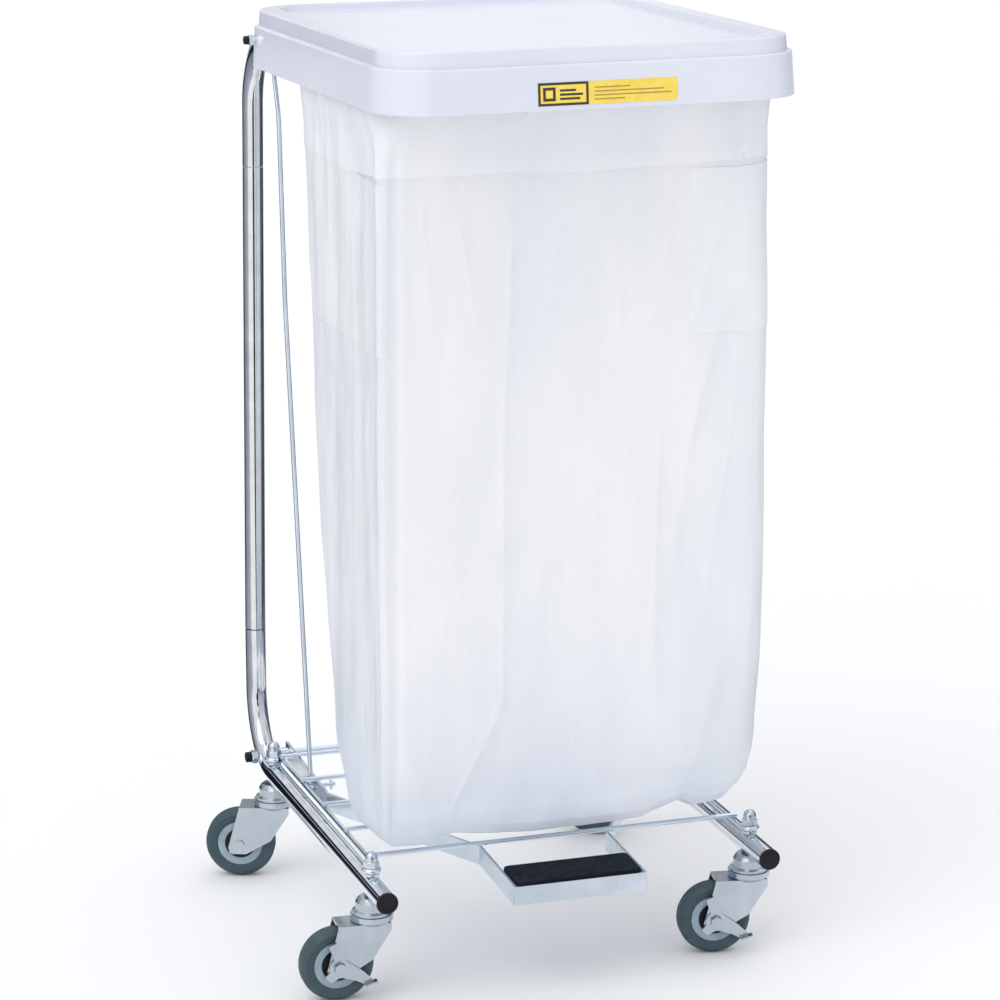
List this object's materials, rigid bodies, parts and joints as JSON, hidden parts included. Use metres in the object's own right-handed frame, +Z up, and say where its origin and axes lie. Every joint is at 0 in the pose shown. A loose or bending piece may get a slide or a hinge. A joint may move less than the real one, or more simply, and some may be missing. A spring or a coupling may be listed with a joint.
{
  "type": "linen trolley",
  "caption": "Chrome tube linen trolley on swivel casters: a translucent bag hangs in a top ring under a white hinged lid, opened by a front foot pedal through a lift rod.",
  "frame": {"origin": "on the floor, midway between the two base tubes and midway along them", "axes": "+Z up, +Y towards the uprights at the back, +X to the right seen from the pedal"},
  "size_m": [0.5096, 0.5648, 0.9704],
  "materials": {
    "chrome_tube": "polished",
    "plated_steel": "bright zinc plate",
    "black_plastic": "matte",
    "wheel_core": "satin",
    "grey_tyre": "matte",
    "white_plastic": "satin gloss",
    "rubber": "matte",
    "label": "printed film, blank",
    "bag_film": "translucent film"
  },
  "bodies": {
    "frame": {"base_tube_left": "chrome_tube", "base_tube_right": "chrome_tube", "mid_tube_left": "chrome_tube", "mid_tube_right": "chrome_tube", "top_tube_left": "chrome_tube", "top_tube_right": "chrome_tube", "joint_sleeves": "plated_steel", "front_bow": "chrome_tube", "rear_bag_bar": "plated_steel", "bag_bar_screws": "plated_steel", "tube_end_caps": "black_plastic", "pivot_rod": "plated_steel", "pivot_rod_nuts": "chrome_tube", "pivot_rod_caps": "black_plastic", "pivot_spacers": "plated_steel", "lid_hinge_rod": "plated_steel", "hinge_rod_nuts": "chrome_tube", "hinge_rod_caps": "black_plastic", "rack_side_wires": "plated_steel", "rack_cross_wires": "plated_steel", "acorn_nuts": "chrome_tube", "stem_fl": "plated_steel", "stem_fr": "plated_steel", "stem_rl": "plated_steel", "stem_rr": "plated_steel", "bag": "bag_film", "bag_cuff": "bag_film"},
    "pedal": {"pedal_lever": "plated_steel", "pedal_plate": "plated_steel", "pedal_pad": "rubber"},
    "lid": {"lid_shell": "white_plastic", "lid_bumpers": "rubber", "hinge_bracket_left": "plated_steel", "hinge_bracket_right": "plated_steel", "bracket_screws": "plated_steel", "label_plate": "label"},
    "lift_rod": {"lift_rod": "plated_steel", "rod_clips": "plated_steel"},
    "swivel_fl": {"yoke_fl": "plated_steel", "axle_fl": "plated_steel"},
    "wheel_fl": {"tyre_fl": "grey_tyre", "hub_fl": "wheel_core", "wheel_guards_fl": "black_plastic"},
    "brake_fl": {"brake_lever_fl": "plated_steel"},
    "swivel_fr": {"yoke_fr": "plated_steel", "axle_fr": "plated_steel"},
    "wheel_fr": {"tyre_fr": "grey_tyre", "hub_fr": "wheel_core", "wheel_guards_fr": "black_plastic"},
    "brake_fr": {"brake_lever_fr": "plated_steel"},
    "swivel_rl": {"yoke_rl": "plated_steel", "axle_rl": "plated_steel"},
    "wheel_rl": {"tyre_rl": "grey_tyre", "hub_rl": "wheel_core", "wheel_guards_rl": "black_plastic"},
    "swivel_rr": {"yoke_rr": "plated_steel", "axle_rr": "plated_steel"},
    "wheel_rr": {"tyre_rr": "grey_tyre", "hub_rr": "wheel_core", "wheel_guards_rr": "black_plastic"}
  },
  "joints": [
    {"name": "lid_hinge", "type": "hinge", "parent": "frame", "child": "lid", "pos_m": [0, 0.177, 0.92369], "axis": [-1, 0, 0], "range_deg": [0, 30]},
    {"name": "pedal_hinge", "type": "hinge", "parent": "frame", "child": "pedal", "pos_m": [0, 0.21, 0.12772], "axis": [1, 0, 0], "range_deg": [0, 10.3]},
    {"name": "lift_rod_pivot", "type": "hinge", "parent": "lid", "child": "lift_rod", "pos_m": [-0.1785, 0.212, 0.93169], "axis": [1, 0, 0], "range_deg": [0, 30.5]},
    {"name": "swivel_fl", "type": "hinge", "parent": "frame", "child": "swivel_fl", "pos_m": [-0.205, -0.195, 0.09], "axis": [0, 0, 1], "continuous": true},
    {"name": "wheel_fl", "type": "hinge", "parent": "swivel_fl", "child": "wheel_fl", "pos_m": [-0.24245, -0.19304, 0.0381], "axis": [0.0523, 0.9986, 0], "continuous": true},
    {"name": "brake_fl", "type": "hinge", "parent": "swivel_fl", "child": "brake_fl", "pos_m": [-0.24245, -0.19304, 0.0381], "axis": [0.0523, 0.9986, 0], "range_deg": [0, 20]},
    {"name": "swivel_fr", "type": "hinge", "parent": "frame", "child": "swivel_fr", "pos_m": [0.205, -0.195, 0.09], "axis": [0, 0, 1], "continuous": true},
    {"name": "wheel_fr", "type": "hinge", "parent": "swivel_fr", "child": "wheel_fr", "pos_m": [0.16807, -0.18849, 0.0381], "axis": [0.1736, 0.9848, 0], "continuous": true},
    {"name": "brake_fr", "type": "hinge", "parent": "swivel_fr", "child": "brake_fr", "pos_m": [0.16807, -0.18849, 0.0381], "axis": [0.1736, 0.9848, 0], "range_deg": [0, 20]},
    {"name": "swivel_rl", "type": "hinge", "parent": "frame", "child": "swivel_rl", "pos_m": [-0.205, 0.18, 0.09], "axis": [0, 0, 1], "continuous": true},
    {"name": "wheel_rl", "type": "hinge", "parent": "swivel_rl", "child": "wheel_rl", "pos_m": [-0.24001, 0.19344, 0.0381], "axis": [0.3584, 0.9336, 0], "continuous": true},
    {"name": "swivel_rr", "type": "hinge", "parent": "frame", "child": "swivel_rr", "pos_m": [0.205, 0.18, 0.09], "axis": [0, 0, 1], "continuous": true},
    {"name": "wheel_rr", "type": "hinge", "parent": "swivel_rr", "child": "wheel_rr", "pos_m": [0.17466, 0.20204, 0.0381], "axis": [0.5878, 0.809, 0], "continuous": true}
  ],
  "couplings": [
    {"joint": "pedal_hinge", "follows": "lid_hinge", "ratio": 0.34},
    {"joint": "lift_rod_pivot", "follows": "lid_hinge", "ratio": 1}
  ]
}
